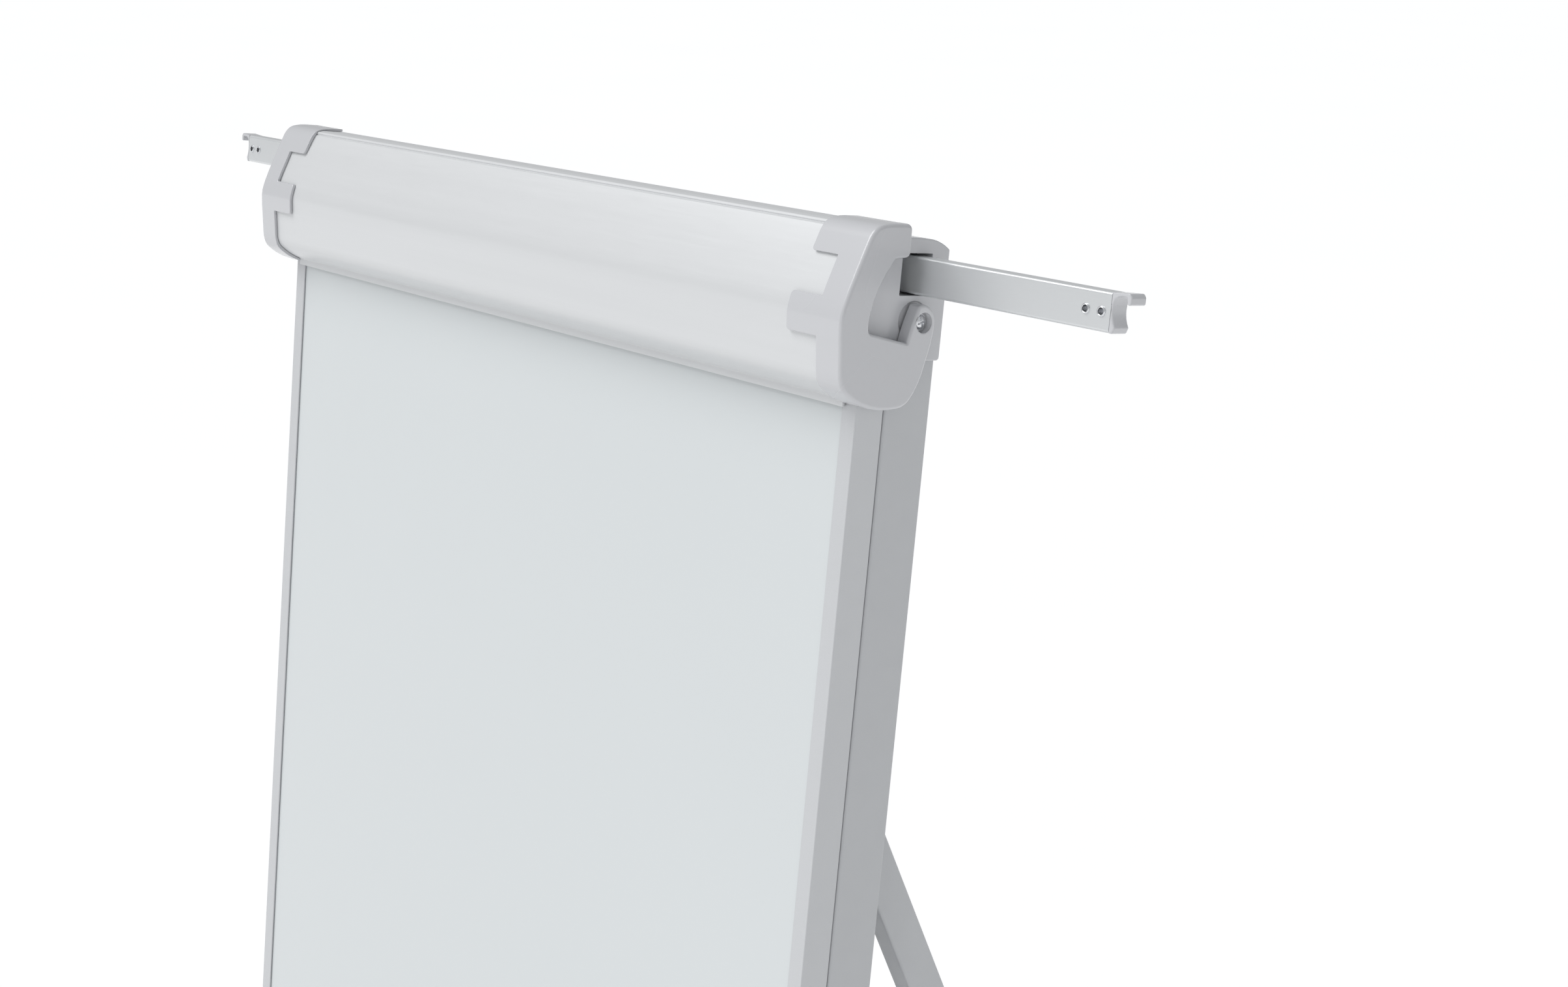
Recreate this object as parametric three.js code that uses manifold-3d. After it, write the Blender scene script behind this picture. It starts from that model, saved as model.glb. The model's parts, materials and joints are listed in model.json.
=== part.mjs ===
// Rolling flip-chart whiteboard: a framed steel board on an A-frame with four castors.
// A hinged clamp bar crosses its top and two extension arms slide out of the top covers.
// Units are millimetres. +Z is up and the writing surface faces -Y.
//
// The board leans back, so it and its uprights are built in a leaning frame:
//   x  across the board, n  rearwards from the front of the frame, u  up along the board.
// The origin of that frame is level with the clamp bar's hinge.
// The rear legs are built in a frame of their own: p rearwards, q up along the leg.

import * as THREE from 'three';
import { mergeVertices } from 'three/addons/utils/BufferGeometryUtils.js';
import Module from 'manifold-3d';

const wasm = await Module();
wasm.setup();

// ---------------------------------------------------------------- driving dimensions
const GAP = 0.3;                       // clearance between pieces that touch
const LEAN = THREE.MathUtils.degToRad(6.6);       // board from the vertical
const FOLD = THREE.MathUtils.degToRad(30.3);      // rear legs from the board
const HALF_WIDTH = 350;                // half the board's outer width
const FRAME_TOP = 10;
const FRAME_BOTTOM = -990;
const FRAME_DEPTH = 22.3;
const LIP = { width: 13, thick: 1.2 };
const SHEET = { front: 1.5, thick: 0.8 };
const BACKING_REAR = 12.9;

const UPRIGHT = { width: 26, front: 23.3, rear: 61.5, top: 12, bottom: -1130, wall: 1.6 };
const INNER_LEG = { width: 22, depth: 34, wall: 1.5 };
const LEG_MID_N = (UPRIGHT.front + UPRIGHT.rear) / 2;
const FOOT_U = -1690;                  // where the front leg's axis meets the castor plate
const UPRIGHT_X = HALF_WIDTH - UPRIGHT.width / 2;

const HINGE = { n: 37.3, u: 0 };       // clamp bar pivot
const COVER_FACE = HALF_WIDTH + 2.4;   // outer face of the fixed top cover
const CAP_INNER = COVER_FACE + 0.6;
const CAP_OUTER = HALF_WIDTH + 12.5;
const RIM_EDGE = HALF_WIDTH - 10;      // inner edge of the end cap's rim
const RIM_WALL = 2.1;
const BAR_WALL = 2;

const ARM = { n0: 34, n1: 46.5, u0: 16.1, u1: 39.1, wall: 1.3, inner: 232.6, outer: HALF_WIDTH + 163.1 };
const GUIDE = { n0: 31.8, n1: 48.6, u0: 14.2, u1: 41.1, wall: 1.6, end: HALF_WIDTH - 5 };
const RIVET_X = [HALF_WIDTH + 143.9, HALF_WIDTH + 155.7];

const LEG_HINGE_U = -284;              // rear legs' hinge on the uprights
const REAR_LEG = { x0: 296, x1: 314, depth: 27, wall: 1.5, top: 16 };
const LEG_BOLT = 4;                    // radius of the rear legs' bolt
const BRACE_REACH = 620;               // from the leg hinge to each brace pivot
const CROSS_BAR_Q = -1150;

const CASTOR = { height: 68, wheel: 27.5, width: 20, trail: 16, stem: 5, stemLength: 18 };
const TRAY = { halfWidth: 320, depth: 68, floor: 2, lip: 14, back: 20, end: 2 };

// ---------------------------------------------------------------- helpers
const AXES = {
  x: new THREE.Matrix4().makeBasis(v3(0, 1, 0), v3(0, 0, 1), v3(1, 0, 0)),   // outline (n, u)
  n: new THREE.Matrix4().makeBasis(v3(1, 0, 0), v3(0, 0, 1), v3(0, -1, 0)),  // outline (x, u)
  u: new THREE.Matrix4(),                                                    // outline (x, n)
};

function v3(x, y, z) {
  return new THREE.Vector3(x, y, z);
}

function toSolid(geometry) {
  const bare = geometry.clone();
  for (const name of Object.keys(bare.attributes)) {
    if (name !== 'position') bare.deleteAttribute(name);
  }
  const merged = mergeVertices(bare, 1e-4);
  return new wasm.Manifold(new wasm.Mesh({
    numProp: 3,
    vertProperties: new Float32Array(merged.attributes.position.array),
    triVerts: new Uint32Array(merged.index.array),
  }));
}

function toGeometry(solid) {
  const mesh = solid.getMesh();
  const geometry = new THREE.BufferGeometry();
  geometry.setAttribute('position', new THREE.BufferAttribute(new Float32Array(mesh.vertProperties), 3));
  geometry.setIndex(new THREE.BufferAttribute(new Uint32Array(mesh.triVerts), 1));
  return geometry;
}

function cut(base, ...tools) {
  return toGeometry(tools.reduce((solid, tool) => solid.subtract(toSolid(tool)), toSolid(base)));
}

function join(base, ...others) {
  return toGeometry(others.reduce((solid, other) => solid.add(toSolid(other)), toSolid(base)));
}

// An outline pushed along an axis from `from` to `to`; holes are outlines inside it.
function prism(axis, outline, from, to, holes = []) {
  const shape = outline.isShape ? outline : new THREE.Shape(outline);
  for (const hole of holes) shape.holes.push(new THREE.Path(hole));
  const geometry = new THREE.ExtrudeGeometry(shape, { depth: to - from, bevelEnabled: false });
  const start = axis === 'n' ? -to : from;
  geometry.translate(0, 0, start);
  return geometry.applyMatrix4(AXES[axis]);
}

function box(x0, x1, n0, n1, u0, u1) {
  const geometry = new THREE.BoxGeometry(x1 - x0, n1 - n0, u1 - u0);
  return geometry.translate((x0 + x1) / 2, (n0 + n1) / 2, (u0 + u1) / 2);
}

// A round rod along `axis` between `from` and `to`, centred at (a, b) in the outline plane.
function rod(axis, a, b, radius, from, to, sides = 24) {
  const outline = new THREE.Shape().absarc(a, b, radius, 0, Math.PI * 2);
  const points = outline.getSpacedPoints(sides).slice(0, sides);
  return prism(axis, points, from, to);
}

// A body of revolution along x: profile pairs are (distance along x, radius).
function turnedX(profile, n, u, sides = 24) {
  const points = profile.map(([along, radius]) => new THREE.Vector2(radius, along));
  const geometry = new THREE.LatheGeometry(points, sides);
  geometry.rotateZ(-Math.PI / 2);
  return geometry.translate(0, n, u);
}

function rect(a0, a1, b0, b1, radius = 0, steps = 3) {
  if (!radius) return [[a0, b0], [a1, b0], [a1, b1], [a0, b1]].map(toVector);
  const corners = [[a1 - radius, b1 - radius, 0], [a0 + radius, b1 - radius, 1],
    [a0 + radius, b0 + radius, 2], [a1 - radius, b0 + radius, 3]];
  const points = [];
  for (const [a, b, quarter] of corners) {
    for (let i = 0; i <= steps; i += 1) {
      const angle = (quarter + i / steps) * Math.PI / 2;
      points.push(new THREE.Vector2(a + radius * Math.cos(angle), b + radius * Math.sin(angle)));
    }
  }
  return points;
}

function toVector([a, b]) {
  return new THREE.Vector2(a, b);
}

function tube(axis, outer, wall, radius, from, to) {
  const [a0, a1, b0, b1] = outer;
  const inner = rect(a0 + wall, a1 - wall, b0 + wall, b1 - wall, Math.max(radius - wall, 0.4), 2);
  return prism(axis, rect(a0, a1, b0, b1, radius, 3), from, to, [inner]);
}

// The polyline shifted sideways by `distance`, to the left of its direction.
function offsetLine(points, distance) {
  return points.map((point, i) => {
    const before = points[Math.max(i - 1, 0)];
    const after = points[Math.min(i + 1, points.length - 1)];
    const along = after.clone().sub(before).normalize();
    return new THREE.Vector2(point.x - along.y * distance, point.y + along.x * distance);
  });
}

function mirrored(geometry) {
  const copy = geometry.clone();
  copy.scale(-1, 1, 1);
  const flat = copy.index ? copy.toNonIndexed() : copy;
  const position = flat.attributes.position;
  for (let i = 0; i < position.count; i += 3) {
    const first = v3(0, 0, 0).fromBufferAttribute(position, i);
    const last = v3(0, 0, 0).fromBufferAttribute(position, i + 2);
    position.setXYZ(i, last.x, last.y, last.z);
    position.setXYZ(i + 2, first.x, first.y, first.z);
  }
  return toGeometry(toSolid(flat));
}

// ---------------------------------------------------------------- materials
const LOOKS = {
  board: [0xd6dad9, 0.25, 0.0],
  backing: [0x8f9496, 0.7, 0.0],
  aluminium: [0xd9dcdc, 0.35, 0.8],
  painted: [0xa9adb1, 0.45, 0.2],
  plastic: [0xb4b6b9, 0.3, 0.0],
  steel: [0xcfd1d3, 0.25, 0.9],
  dark: [0x3a3c3e, 0.6, 0.0],
};

function material(look) {
  const [color, roughness, metalness] = LOOKS[look];
  return new THREE.MeshStandardMaterial({ color, roughness, metalness });
}

function add(group, name, geometry, look) {
  const mesh = new THREE.Mesh(geometry, material(look));
  mesh.name = name;
  group.add(mesh);
  return mesh;
}

function addPair(group, stem, geometry, look) {
  add(group, `${stem}_right`, geometry, look);
  add(group, `${stem}_left`, mirrored(geometry), look);
}

const easel = new THREE.Group();
const leaning = new THREE.Group();
const rear = new THREE.Group();
leaning.rotation.x = -LEAN;
rear.rotation.x = FOLD - LEAN;
easel.add(leaning, rear);

// ---------------------------------------------------------------- where things stand
const originHeight = CASTOR.height + LEG_MID_N * Math.sin(LEAN) - FOOT_U * Math.cos(LEAN);
leaning.position.set(0, 0, originHeight);

function worldOf(n, u) {
  const y = n * Math.cos(LEAN) + u * Math.sin(LEAN);
  const z = originHeight - n * Math.sin(LEAN) + u * Math.cos(LEAN);
  return { y, z };
}

const legHinge = worldOf(LEG_MID_N, LEG_HINGE_U);
rear.position.set(0, legHinge.y, legHinge.z);
const rearTilt = FOLD - LEAN;
const rearReach = (legHinge.z - CASTOR.height) / Math.cos(rearTilt);
const frontFoot = worldOf(LEG_MID_N, FOOT_U);
const rearFootY = legHinge.y + rearReach * Math.sin(rearTilt);

// ---------------------------------------------------------------- board and its frame
function railProfile() {
  const { width, thick } = LIP;
  const wall = 1.6;
  const rearLip = 8;
  const rearLipFront = BACKING_REAR + GAP;
  return [[0, 0], [width, 0], [width, thick], [wall, thick], [wall, rearLipFront],
    [rearLip, rearLipFront], [rearLip, rearLipFront + 1.4], [wall, rearLipFront + 1.4],
    [wall, FRAME_DEPTH], [0, FRAME_DEPTH]].map(toVector);
}

// A rail runs along u with its outer face at x = half width, and mitred ends.
function mitredRail(halfWidth, from, to) {
  const outline = railProfile().map((point) => new THREE.Vector2(halfWidth - point.x, point.y));
  const geometry = prism('u', outline.reverse(), from, to);
  const position = geometry.attributes.position;
  for (let i = 0; i < position.count; i += 1) {
    const inwards = halfWidth - position.getX(i) + GAP / 2;
    const atTop = position.getZ(i) > (from + to) / 2;
    position.setZ(i, position.getZ(i) + (atTop ? -inwards : inwards));
  }
  return toGeometry(toSolid(geometry));
}

function addBoard() {
  const middleU = (FRAME_TOP + FRAME_BOTTOM) / 2;
  const halfHeight = (FRAME_TOP - FRAME_BOTTOM) / 2;
  const margin = 2;
  const halfSheet = HALF_WIDTH - margin;
  const sheetRear = SHEET.front + SHEET.thick;
  addPair(leaning, 'frame_rail', mitredRail(HALF_WIDTH, FRAME_BOTTOM, FRAME_TOP), 'painted');
  const across = mitredRail(halfHeight, -HALF_WIDTH, HALF_WIDTH);
  const top = across.clone().applyMatrix4(new THREE.Matrix4().makeBasis(v3(0, 0, 1), v3(0, 1, 0), v3(-1, 0, 0)));
  top.rotateY(Math.PI);
  add(leaning, 'frame_rail_top', top.clone().translate(0, 0, middleU), 'painted');
  const bottom = across.clone().applyMatrix4(new THREE.Matrix4().makeBasis(v3(0, 0, -1), v3(0, 1, 0), v3(1, 0, 0)));
  bottom.rotateY(Math.PI);
  add(leaning, 'frame_rail_bottom', bottom.translate(0, 0, middleU), 'painted');
  // The steel sheet is a grid of faces, so the middle one is clear of the rails and the clamp bar.
  const sheet = new THREE.BoxGeometry(2 * halfSheet, SHEET.thick, 2 * (halfHeight - margin), 3, 1, 3);
  add(leaning, 'writing_board', sheet.translate(0, SHEET.front + SHEET.thick / 2, middleU), 'board');
  add(leaning, 'backing_board', box(-halfSheet, halfSheet, sheetRear + GAP, BACKING_REAR,
    FRAME_BOTTOM + margin, FRAME_TOP - margin), 'backing');
}

// ---------------------------------------------------------------- uprights and front legs
const KNOB = { u: -1120, bossRadius: 10, bossDepth: 8, shaft: 3, grip: 15, depth: 18 };
const COLLAR = { wall: 3.2, top: -1094, bottom: -1146 };

function addFrontLegs() {
  const half = UPRIGHT.width / 2;
  const outer = [UPRIGHT_X - half, UPRIGHT_X + half, UPRIGHT.front, UPRIGHT.rear];
  const shaftHole = KNOB.shaft + 0.4;
  const knobHole = rod('n', UPRIGHT_X, KNOB.u, shaftHole, UPRIGHT.rear - 4, UPRIGHT.rear + 16, 16);
  const boltHole = rod('x', LEG_MID_N, LEG_HINGE_U, LEG_BOLT + 0.4, UPRIGHT_X - half - 2, UPRIGHT_X, 16);
  const screwHole = rod('x', HINGE.n, HINGE.u, 3.4, UPRIGHT_X, HALF_WIDTH + 2, 16);
  const body = tube('u', outer, UPRIGHT.wall, 2.2, UPRIGHT.bottom, UPRIGHT.top);
  addPair(leaning, 'upright', cut(body, knobHole, boltHole, screwHole), 'painted');

  const legHalf = INNER_LEG.width / 2;
  const legDepth = INNER_LEG.depth / 2;
  const legOuter = [UPRIGHT_X - legHalf, UPRIGHT_X + legHalf, LEG_MID_N - legDepth, LEG_MID_N + legDepth];
  const footTop = FOOT_U + 34;
  const innerTop = LEG_HINGE_U - LEG_BOLT - 1;     // the leg bolt stops the inner leg
  addPair(leaning, 'front_leg', tube('u', legOuter, INNER_LEG.wall, 2, footTop, innerTop), 'aluminium');

  const up = { a: -Math.sin(LEAN), b: Math.cos(LEAN) };
  addPair(leaning, 'front_foot', footPlug(UPRIGHT_X, LEG_MID_N, FOOT_U, footTop, legOuter,
    INNER_LEG.wall, up), 'plastic');

  addCollar(half);
}

function addCollar(half) {
  const { wall, top, bottom } = COLLAR;
  const depth = (UPRIGHT.rear - UPRIGHT.front) / 2;
  const around = rect(UPRIGHT_X - half - wall, UPRIGHT_X + half + wall, UPRIGHT.front - wall,
    UPRIGHT.rear + wall, 4);
  const tubeSpace = box(UPRIGHT_X - half - GAP, UPRIGHT_X + half + GAP, LEG_MID_N - depth - GAP,
    LEG_MID_N + depth + GAP, UPRIGHT.bottom - GAP, top + 1);
  const legSpace = box(UPRIGHT_X - INNER_LEG.width / 2 - 0.4, UPRIGHT_X + INNER_LEG.width / 2 + 0.4,
    LEG_MID_N - INNER_LEG.depth / 2 - 0.4, LEG_MID_N + INNER_LEG.depth / 2 + 0.4, bottom - 1, top);
  const bossFrom = UPRIGHT.rear + 1;
  const bossTo = UPRIGHT.rear + wall + KNOB.bossDepth;
  const boss = rod('n', UPRIGHT_X, KNOB.u, KNOB.bossRadius, bossFrom, bossTo, 20);
  const hole = rod('n', UPRIGHT_X, KNOB.u, KNOB.shaft + 0.4, UPRIGHT.rear - 2, bossTo + 2, 16);
  const sleeve = join(prism('u', around, bottom, top), boss);
  addPair(leaning, 'leg_collar', cut(sleeve, tubeSpace, legSpace, hole), 'dark');

  const lobes = 5;
  const steps = 40;
  const outline = Array.from({ length: steps }, (_, i) => {
    const angle = i / steps * Math.PI * 2;
    const radius = KNOB.grip + 1.8 * Math.cos(lobes * angle);
    return new THREE.Vector2(UPRIGHT_X + radius * Math.cos(angle), KNOB.u + radius * Math.sin(angle));
  });
  const gripFrom = bossTo + GAP;
  const grip = prism('n', outline, gripFrom, gripFrom + KNOB.depth);
  const shaftFrom = LEG_MID_N + INNER_LEG.depth / 2 + GAP;
  const shaft = rod('n', UPRIGHT_X, KNOB.u, KNOB.shaft, shaftFrom, gripFrom + 2, 16);
  addPair(leaning, 'leg_knob', join(grip, shaft), 'dark');
}

// A leg's end plug: a block cut level at the castor plate, with an upright bore for the stem
// and a spigot inside the tube. `up` is the vertical in the leg's own (a, b) plane.
function footPlug(x, a, b, tubeEnd, legOuter, wall, up) {
  const [x0, x1, a0, a1] = legOuter;
  const proud = 1;
  const block = box(x0 - proud, x1 + proud, a0 - proud, a1 + proud, b - 20, tubeEnd - GAP);
  const spigot = box(x0 + wall + GAP, x1 - wall - GAP, a0 + wall + GAP, a1 - wall - GAP,
    tubeEnd - 2, tubeEnd + 22);
  const tilt = Math.atan2(-up.a, up.b);
  const below = box(x - 40, x + 40, -60, 60, -60, 0);
  below.rotateX(tilt).translate(0, a, b);
  const bore = rod('u', x, 0, CASTOR.stem + GAP, -30, CASTOR.stemLength + 1, 20);
  bore.rotateX(tilt).translate(0, a, b);
  return cut(join(block, spigot), below, bore);
}

// ---------------------------------------------------------------- top covers and arm guide
function coverOutline() {
  const rearFace = UPRIGHT.rear + 1.1;
  const shape = new THREE.Shape();
  shape.moveTo(-11.5, -25);
  shape.lineTo(rearFace, -25);
  shape.lineTo(rearFace, 42.6);
  shape.lineTo(rearFace - 0.6, 43.9);
  shape.quadraticCurveTo(rearFace - 10.5, 50.8, rearFace - 30, 50.9);
  shape.lineTo(14, 50);
  shape.quadraticCurveTo(-4, 44, -10, 24);
  shape.quadraticCurveTo(-13.5, 8, -11.5, -25);
  return shape.extractPoints(4).shape;
}

function addTopCovers() {
  const inner = HALF_WIDTH - 28;
  const outsideWall = HALF_WIDTH + GAP;
  const body = prism('x', coverOutline(), inner, COVER_FACE);
  const underTop = UPRIGHT.top + GAP;
  const cavity = box(inner - 1, outsideWall, -GAP, UPRIGHT.rear + GAP, -30, underTop);
  const guidePocket = box(inner - 1, GUIDE.end + GAP, GUIDE.n0 - GAP, GUIDE.n1 + GAP,
    underTop - 1, GUIDE.u1 + GAP);
  const armSlot = box(GUIDE.end - 1, COVER_FACE + 1, 24, GUIDE.n1 - 0.2, 15.2, 40.8);
  const frontHollow = box(inner - 1, HALF_WIDTH - 0.5, -4, GUIDE.n0 - 3, underTop - 1, 40);
  const rearHollow = box(inner - 1, HALF_WIDTH - 0.5, GUIDE.n1 + 3, UPRIGHT.rear - 1, underTop - 1, 42);
  const screwHole = rod('x', HINGE.n, HINGE.u, 3.4, HALF_WIDTH - 2, COVER_FACE + 1, 16);
  const cover = cut(body, cavity, guidePocket, armSlot, frontHollow, rearHollow, screwHole);
  addPair(leaning, 'top_cover', cover, 'plastic');

  const guide = [GUIDE.n0, GUIDE.n1, GUIDE.u0, GUIDE.u1];
  add(leaning, 'arm_guide_rail', tube('x', guide, GUIDE.wall, 1.8, -GUIDE.end, GUIDE.end), 'aluminium');
}

// ---------------------------------------------------------------- clamp bar and end caps
// The end cap's front outline, from the rear of its top edge over the front to the board.
function capFront() {
  return [[17, 59.1], [2, 58.7], [-6.5, 56.6], [-10.8, 52.4], [-16.2, 40.5], [-20.9, 28.7],
    [-25.8, 16.5], [-29.5, 5], [-29.6, -4], [-28.4, -12.7], [-26.3, -34], [-23.6, -39.8],
    [-14.6, -46.8], [-0.8, -51.8]].map(toVector);
}

function capSide() {
  const corner = [[19.6, 57.6], [21.1, 54.5], [21.1, 42.6], [18.6, 39.4], [11.4, 38.7]];
  const windowEdge = [[6.9, 35.9], [-0.2, 26.1], [-5.4, 11.1], [-6.9, -0.5], [-6, -4.6], [-2.2, -6.9]];
  const lug = [[25.3, -12], [26.4, -6.5], [29, 1.4], [32, 8.4], [34, 10.6], [36.8, 11], [40.2, 9.9],
    [43.2, 7.7], [45.6, 4.2], [46.6, -0.5], [46.4, -6]];
  const lower = [[44.6, -14.5], [42.8, -24.7], [37.7, -38.3], [31.5, -47.8], [27, -50.8],
    [15, -53.2], [0.4, -52.2]];
  const front = capFront().reverse();
  return [...[...corner, ...windowEdge, ...lug, ...lower].map(toVector), ...front];
}

function addClampBar() {
  const outer = capFront();
  const barOuter = offsetLine(outer, RIM_WALL + GAP).slice(0, -1);
  const lastPoint = barOuter.at(-1);
  barOuter.push(new THREE.Vector2(-0.9, lastPoint.y - 4.4));
  const barInner = offsetLine(barOuter, BAR_WALL);
  barInner[barInner.length - 1].x = -0.9;
  const bar = prism('x', [...barOuter, ...barInner.slice().reverse()], -CAP_INNER + 1, CAP_INNER - 1);
  add(leaning, 'clamp_bar', bar, 'aluminium');

  const rimInner = offsetLine(outer, RIM_WALL);
  rimInner[rimInner.length - 1].x = -0.8;
  const rimBand = [...outer, ...rimInner.slice().reverse()];
  const rim = prism('x', rimBand, RIM_EDGE, CAP_INNER + 1);
  const side = prism('x', capSide(), CAP_INNER, CAP_OUTER);
  const upperTab = bandBetween(rimBand, HALF_WIDTH - 34, RIM_EDGE + 1, 38, 70);
  const middleTab = bandBetween(rimBand, HALF_WIDTH - 37.5, RIM_EDGE + 1, -10.5, 13.5);
  const screwHole = rod('x', HINGE.n, HINGE.u, 3.4, CAP_INNER - 1, CAP_OUTER, 16);
  const headRecess = rod('x', HINGE.n, HINGE.u, 6.1, CAP_OUTER - 5, CAP_OUTER + 1, 24);
  const cap = cut(join(side, rim, upperTab, middleTab), screwHole, headRecess);
  addPair(leaning, 'clamp_end_cap', cap, 'plastic');

  const headBase = CAP_OUTER - 5 + GAP;
  const profile = [[HALF_WIDTH - 8, 0], [HALF_WIDTH - 8, 3], [headBase, 3], [headBase, 4.6],
    [headBase + 1.2, 4.4], [headBase + 2.3, 2.6], [headBase + 2.6, 0]];
  addPair(leaning, 'pivot_screw', turnedX(profile, HINGE.n, HINGE.u, 20), 'steel');
}

// The part of a band that lies between two heights, pushed along x.
function bandBetween(outline, from, to, low, high) {
  const slab = box(from - 1, to + 1, -80, 80, low, high);
  const solid = toSolid(prism('x', outline, from, to));
  return toGeometry(solid.intersect(toSolid(slab)));
}

// ---------------------------------------------------------------- extension arms
function addArms() {
  const { n0, n1, u0, u1, wall, inner, outer } = ARM;
  const middleU = (u0 + u1) / 2;
  const holes = RIVET_X.map((x) => rod('n', x, middleU, 2.5, n0 - 1, n1 + 1, 16));
  const body = tube('x', [n0, n1, u0, u1], wall, 1.6, inner, outer - GAP);
  addPair(leaning, 'extension_arm', cut(body, ...holes), 'aluminium');

  const shape = new THREE.Shape();
  shape.moveTo(outer, u0);
  shape.lineTo(outer + 2.3, u0);
  shape.lineTo(outer + 3.7, u0 + 3.3);
  shape.quadraticCurveTo(outer, u0 + 12, outer + 1.5, u0 + 18.4);
  shape.quadraticCurveTo(outer + 2.5, u0 + 21.3, outer + 6, u0 + 21.3);
  shape.lineTo(outer + 11.1, u0 + 21.3);
  shape.lineTo(outer + 11.1, u0 + 17.8);
  shape.lineTo(outer + 13.9, u0 + 17.8);
  shape.lineTo(outer + 14.1, u0 + 21.5);
  shape.lineTo(outer + 12.5, u0 + 23.7);
  shape.lineTo(outer, u0 + 23);
  const head = prism('n', shape.extractPoints(6).shape, n0, n1);
  const slack = wall + GAP;
  const spigot = box(outer - 32, outer + 1, n0 + slack, n1 - slack, u0 + slack, u1 - slack);
  addPair(leaning, 'arm_hook', cut(join(head, spigot), ...holes), 'plastic');

  RIVET_X.forEach((x, i) => {
    const flange = 2.75;
    const bore = 1.6;
    const profile = [[n0 - 1, bore], [n0 - 1, flange - 0.3], [n0 - GAP, flange], [n0 - GAP, 2.1],
      [n1 + GAP, 2.1], [n1 + GAP, flange], [n1 + 1, flange - 0.3], [n1 + 1, bore], [n0 - 1, bore]];
    const points = profile.map(([along, radius]) => new THREE.Vector2(radius, along));
    const rivet = new THREE.LatheGeometry(points, 16).translate(x, 0, middleU);
    addPair(leaning, `arm_rivet_${['inner', 'outer'][i]}`, toGeometry(toSolid(rivet)), 'steel');
  });
}

// ---------------------------------------------------------------- pad pegs and pen tray
function addPegsAndTray() {
  const pegX = 140;
  const plate = box(pegX - 12, pegX + 12, -3.3, -GAP, -14, 8);
  const pin = rod('n', pegX, 0, 4, -14, -2, 16);
  const tip = rod('n', pegX, 1.6, 5.5, -16, -13.5, 16);
  addPair(leaning, 'paper_peg', join(plate, pin, tip), 'dark');

  const { halfWidth, depth, floor, lip, back, end } = TRAY;
  const low = FRAME_BOTTOM - 8;
  const front = -depth;
  const trough = box(-halfWidth, halfWidth, front, -GAP, low, low + back);
  const inside = box(-halfWidth + end, halfWidth - end, front + 2, -GAP - 2, low + floor, low + back + 1);
  const frontLow = box(-halfWidth - 1, halfWidth + 1, front - 1, -8, low + lip, low + back + 1);
  add(leaning, 'pen_tray', cut(trough, inside, frontLow), 'plastic');
}

// ---------------------------------------------------------------- rear legs
function addRearLegs() {
  const { x0, x1, depth, wall, top } = REAR_LEG;
  const outer = [x0, x1, -depth / 2, depth / 2];
  const tubeEnd = -rearReach + 36;
  const boltHole = rod('x', 0, 0, LEG_BOLT + 0.4, x0 - 2, x1 + 2, 16);
  addPair(rear, 'rear_leg', cut(tube('u', outer, wall, 2, tubeEnd, top), boltHole), 'painted');
  const up = { a: Math.sin(rearTilt), b: Math.cos(rearTilt) };
  const middleX = (x0 + x1) / 2;
  addPair(rear, 'rear_foot', footPlug(middleX, 0, -rearReach, tubeEnd, outer, wall, up), 'plastic');

  const barEnd = x0 - GAP;
  const bar = [-10, 10, CROSS_BAR_Q - 10, CROSS_BAR_Q + 10];
  add(rear, 'rear_cross_bar', tube('x', bar, 1.5, 2, -barEnd, barEnd), 'painted');

  const uprightInner = UPRIGHT_X - UPRIGHT.width / 2;
  const bolt = [[x0 - 4.6, 0], [x0 - 4.6, 4.5], [x0 - 3.6, 7], [x0 - GAP, 7], [x0 - GAP, LEG_BOLT],
    [x1 + GAP, LEG_BOLT], [x1 + GAP, 7.5], [uprightInner - GAP, 7.5], [uprightInner - GAP, LEG_BOLT],
    [uprightInner + 9, LEG_BOLT], [uprightInner + 9, 0]];
  addPair(leaning, 'rear_leg_bolt', turnedX(bolt, LEG_MID_N, LEG_HINGE_U, 20), 'steel');
}

// Two links on each side hold the legs apart: one pivots on the upright, one on the rear leg,
// and they meet at a knee half way between.
function addBraces() {
  const frontPivot = new THREE.Vector2(LEG_MID_N, LEG_HINGE_U - BRACE_REACH);
  const rearPivot = new THREE.Vector2(LEG_MID_N + BRACE_REACH * Math.sin(FOLD),
    LEG_HINGE_U - BRACE_REACH * Math.cos(FOLD));
  const knee = frontPivot.clone().add(rearPivot).multiplyScalar(0.5);
  const uprightFace = UPRIGHT_X - UPRIGHT.width / 2;
  const plate = 2.5;
  const bush = 0.9;
  const outerPlate = uprightFace - GAP - bush;
  const frontLink = linkPlate(frontPivot, knee, outerPlate - plate, outerPlate);
  const frontBush = rod('x', frontPivot.x, frontPivot.y, 6, outerPlate - 1, outerPlate + bush, 16);
  addPair(leaning, 'brace_front', join(frontLink, frontBush), 'steel');

  const innerPlate = REAR_LEG.x1 + GAP + bush;
  const rearLink = linkPlate(rearPivot, knee, innerPlate, innerPlate + plate);
  const rearBush = rod('x', rearPivot.x, rearPivot.y, 6, innerPlate - bush, innerPlate + 1, 16);
  const kneeBush = rod('x', knee.x, knee.y, 5, innerPlate + 1, outerPlate - plate - GAP, 16);
  addPair(leaning, 'brace_rear', join(rearLink, rearBush, kneeBush), 'steel');
}

function linkPlate(from, to, x0, x1) {
  const radius = 7;
  const length = from.distanceTo(to);
  const angle = Math.atan2(to.y - from.y, to.x - from.x);
  const outline = rect(-radius, length + radius, -radius, radius, radius - 0.01, 5);
  const centre = new THREE.Vector2(0, 0);
  const placed = outline.map((point) => point.clone().rotateAround(centre, angle).add(from));
  return prism('x', placed, x0, x1);
}

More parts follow.
